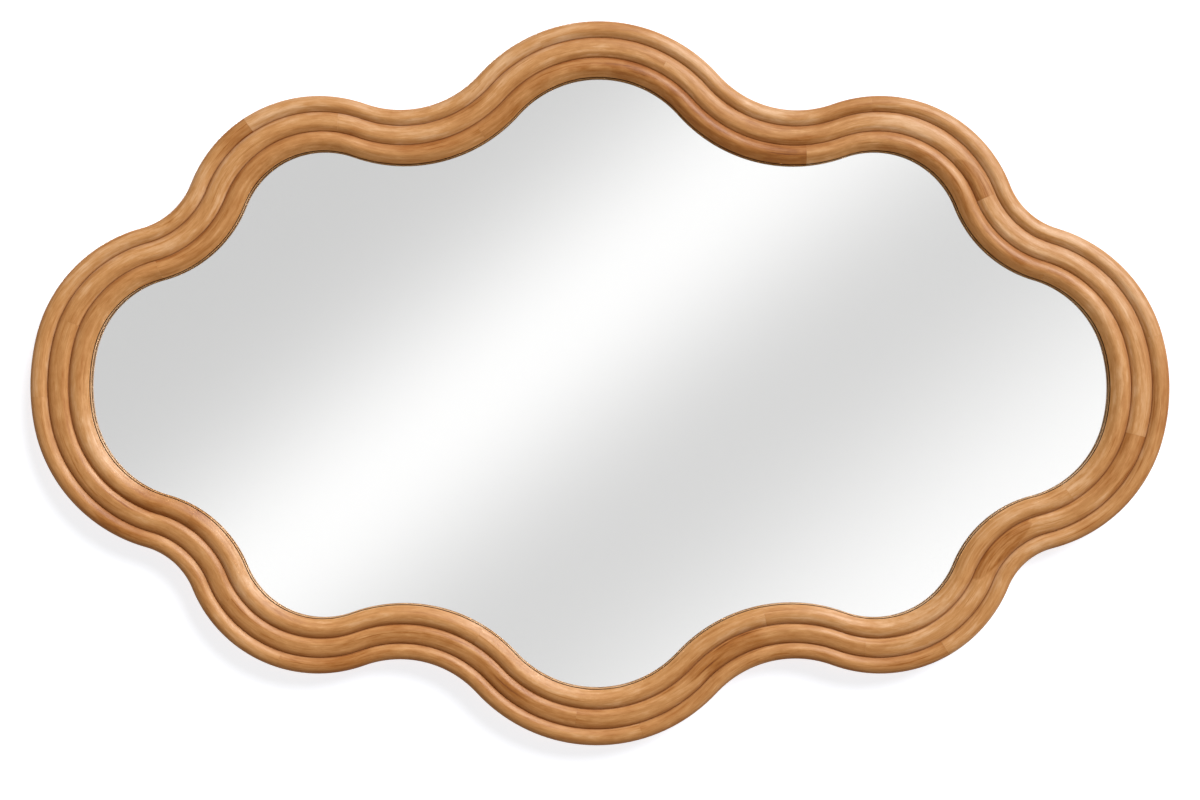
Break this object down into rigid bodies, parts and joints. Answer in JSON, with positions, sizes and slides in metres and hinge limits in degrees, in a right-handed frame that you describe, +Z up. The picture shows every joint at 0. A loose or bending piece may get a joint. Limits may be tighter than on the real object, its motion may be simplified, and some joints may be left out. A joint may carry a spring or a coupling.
{
  "type": "wall mirror",
  "caption": "Wall mirror with a wavy, lobed outline in a reeded wooden frame built up from staves, with a screwed back panel, rubber wall pads and D-rings to hang it by.",
  "frame": {"origin": "on the wall plane, behind the middle of the mirror", "axes": "+X to the right and +Z up as seen from the front, +Y from the mirror's face back into the wall"},
  "size_m": [1.2003, 0.036, 0.7624],
  "materials": {
    "frame_wood": "satin lacquer over warm brown hardwood, grain along the reeds",
    "silvered_glass": "polished float glass, silvered on the back",
    "grey_card": "matt card",
    "hardboard": "plain pressed board",
    "plated_steel": "nickel plated",
    "soft_rubber": "matt, slightly translucent"
  },
  "bodies": {
    "frame": {"outer_stave_1": "frame_wood", "outer_stave_2": "frame_wood", "outer_stave_3": "frame_wood", "outer_stave_4": "frame_wood", "outer_stave_5": "frame_wood", "outer_stave_6": "frame_wood", "outer_stave_7": "frame_wood", "outer_stave_8": "frame_wood", "middle_stave_1": "frame_wood", "middle_stave_2": "frame_wood", "middle_stave_3": "frame_wood", "middle_stave_4": "frame_wood", "middle_stave_5": "frame_wood", "middle_stave_6": "frame_wood", "middle_stave_7": "frame_wood", "middle_stave_8": "frame_wood", "inner_stave_1": "frame_wood", "inner_stave_2": "frame_wood", "inner_stave_3": "frame_wood", "inner_stave_4": "frame_wood", "inner_stave_5": "frame_wood", "inner_stave_6": "frame_wood", "inner_stave_7": "frame_wood", "inner_stave_8": "frame_wood", "mirror_glass": "silvered_glass", "backing_card": "grey_card", "back_panel": "hardboard", "panel_screw_1": "plated_steel", "panel_screw_2": "plated_steel", "panel_screw_3": "plated_steel", "panel_screw_4": "plated_steel", "panel_screw_5": "plated_steel", "panel_screw_6": "plated_steel", "panel_screw_7": "plated_steel", "panel_screw_8": "plated_steel", "panel_screw_9": "plated_steel", "panel_screw_10": "plated_steel", "panel_screw_11": "plated_steel", "panel_screw_12": "plated_steel", "hanger_strap_left": "plated_steel", "hanger_screw_left_1": "plated_steel", "hanger_screw_left_2": "plated_steel", "hanger_strap_right": "plated_steel", "hanger_screw_right_1": "plated_steel", "hanger_screw_right_2": "plated_steel", "wall_pad_upper_right": "soft_rubber", "wall_pad_lower_right": "soft_rubber", "wall_pad_lower_left": "soft_rubber", "wall_pad_upper_left": "soft_rubber"},
    "ring_left": {"hanger_ring_left": "plated_steel"},
    "ring_right": {"hanger_ring_right": "plated_steel"}
  },
  "joints": [
    {"name": "ring_left_swing", "type": "hinge", "parent": "frame", "child": "ring_left", "pos_m": [-0.397, -0.0032, 0.251], "axis": [1, 0, 0], "range_deg": [0, 180]},
    {"name": "ring_right_swing", "type": "hinge", "parent": "frame", "child": "ring_right", "pos_m": [0.397, -0.0032, 0.251], "axis": [1, 0, 0], "range_deg": [0, 180]}
  ]
}
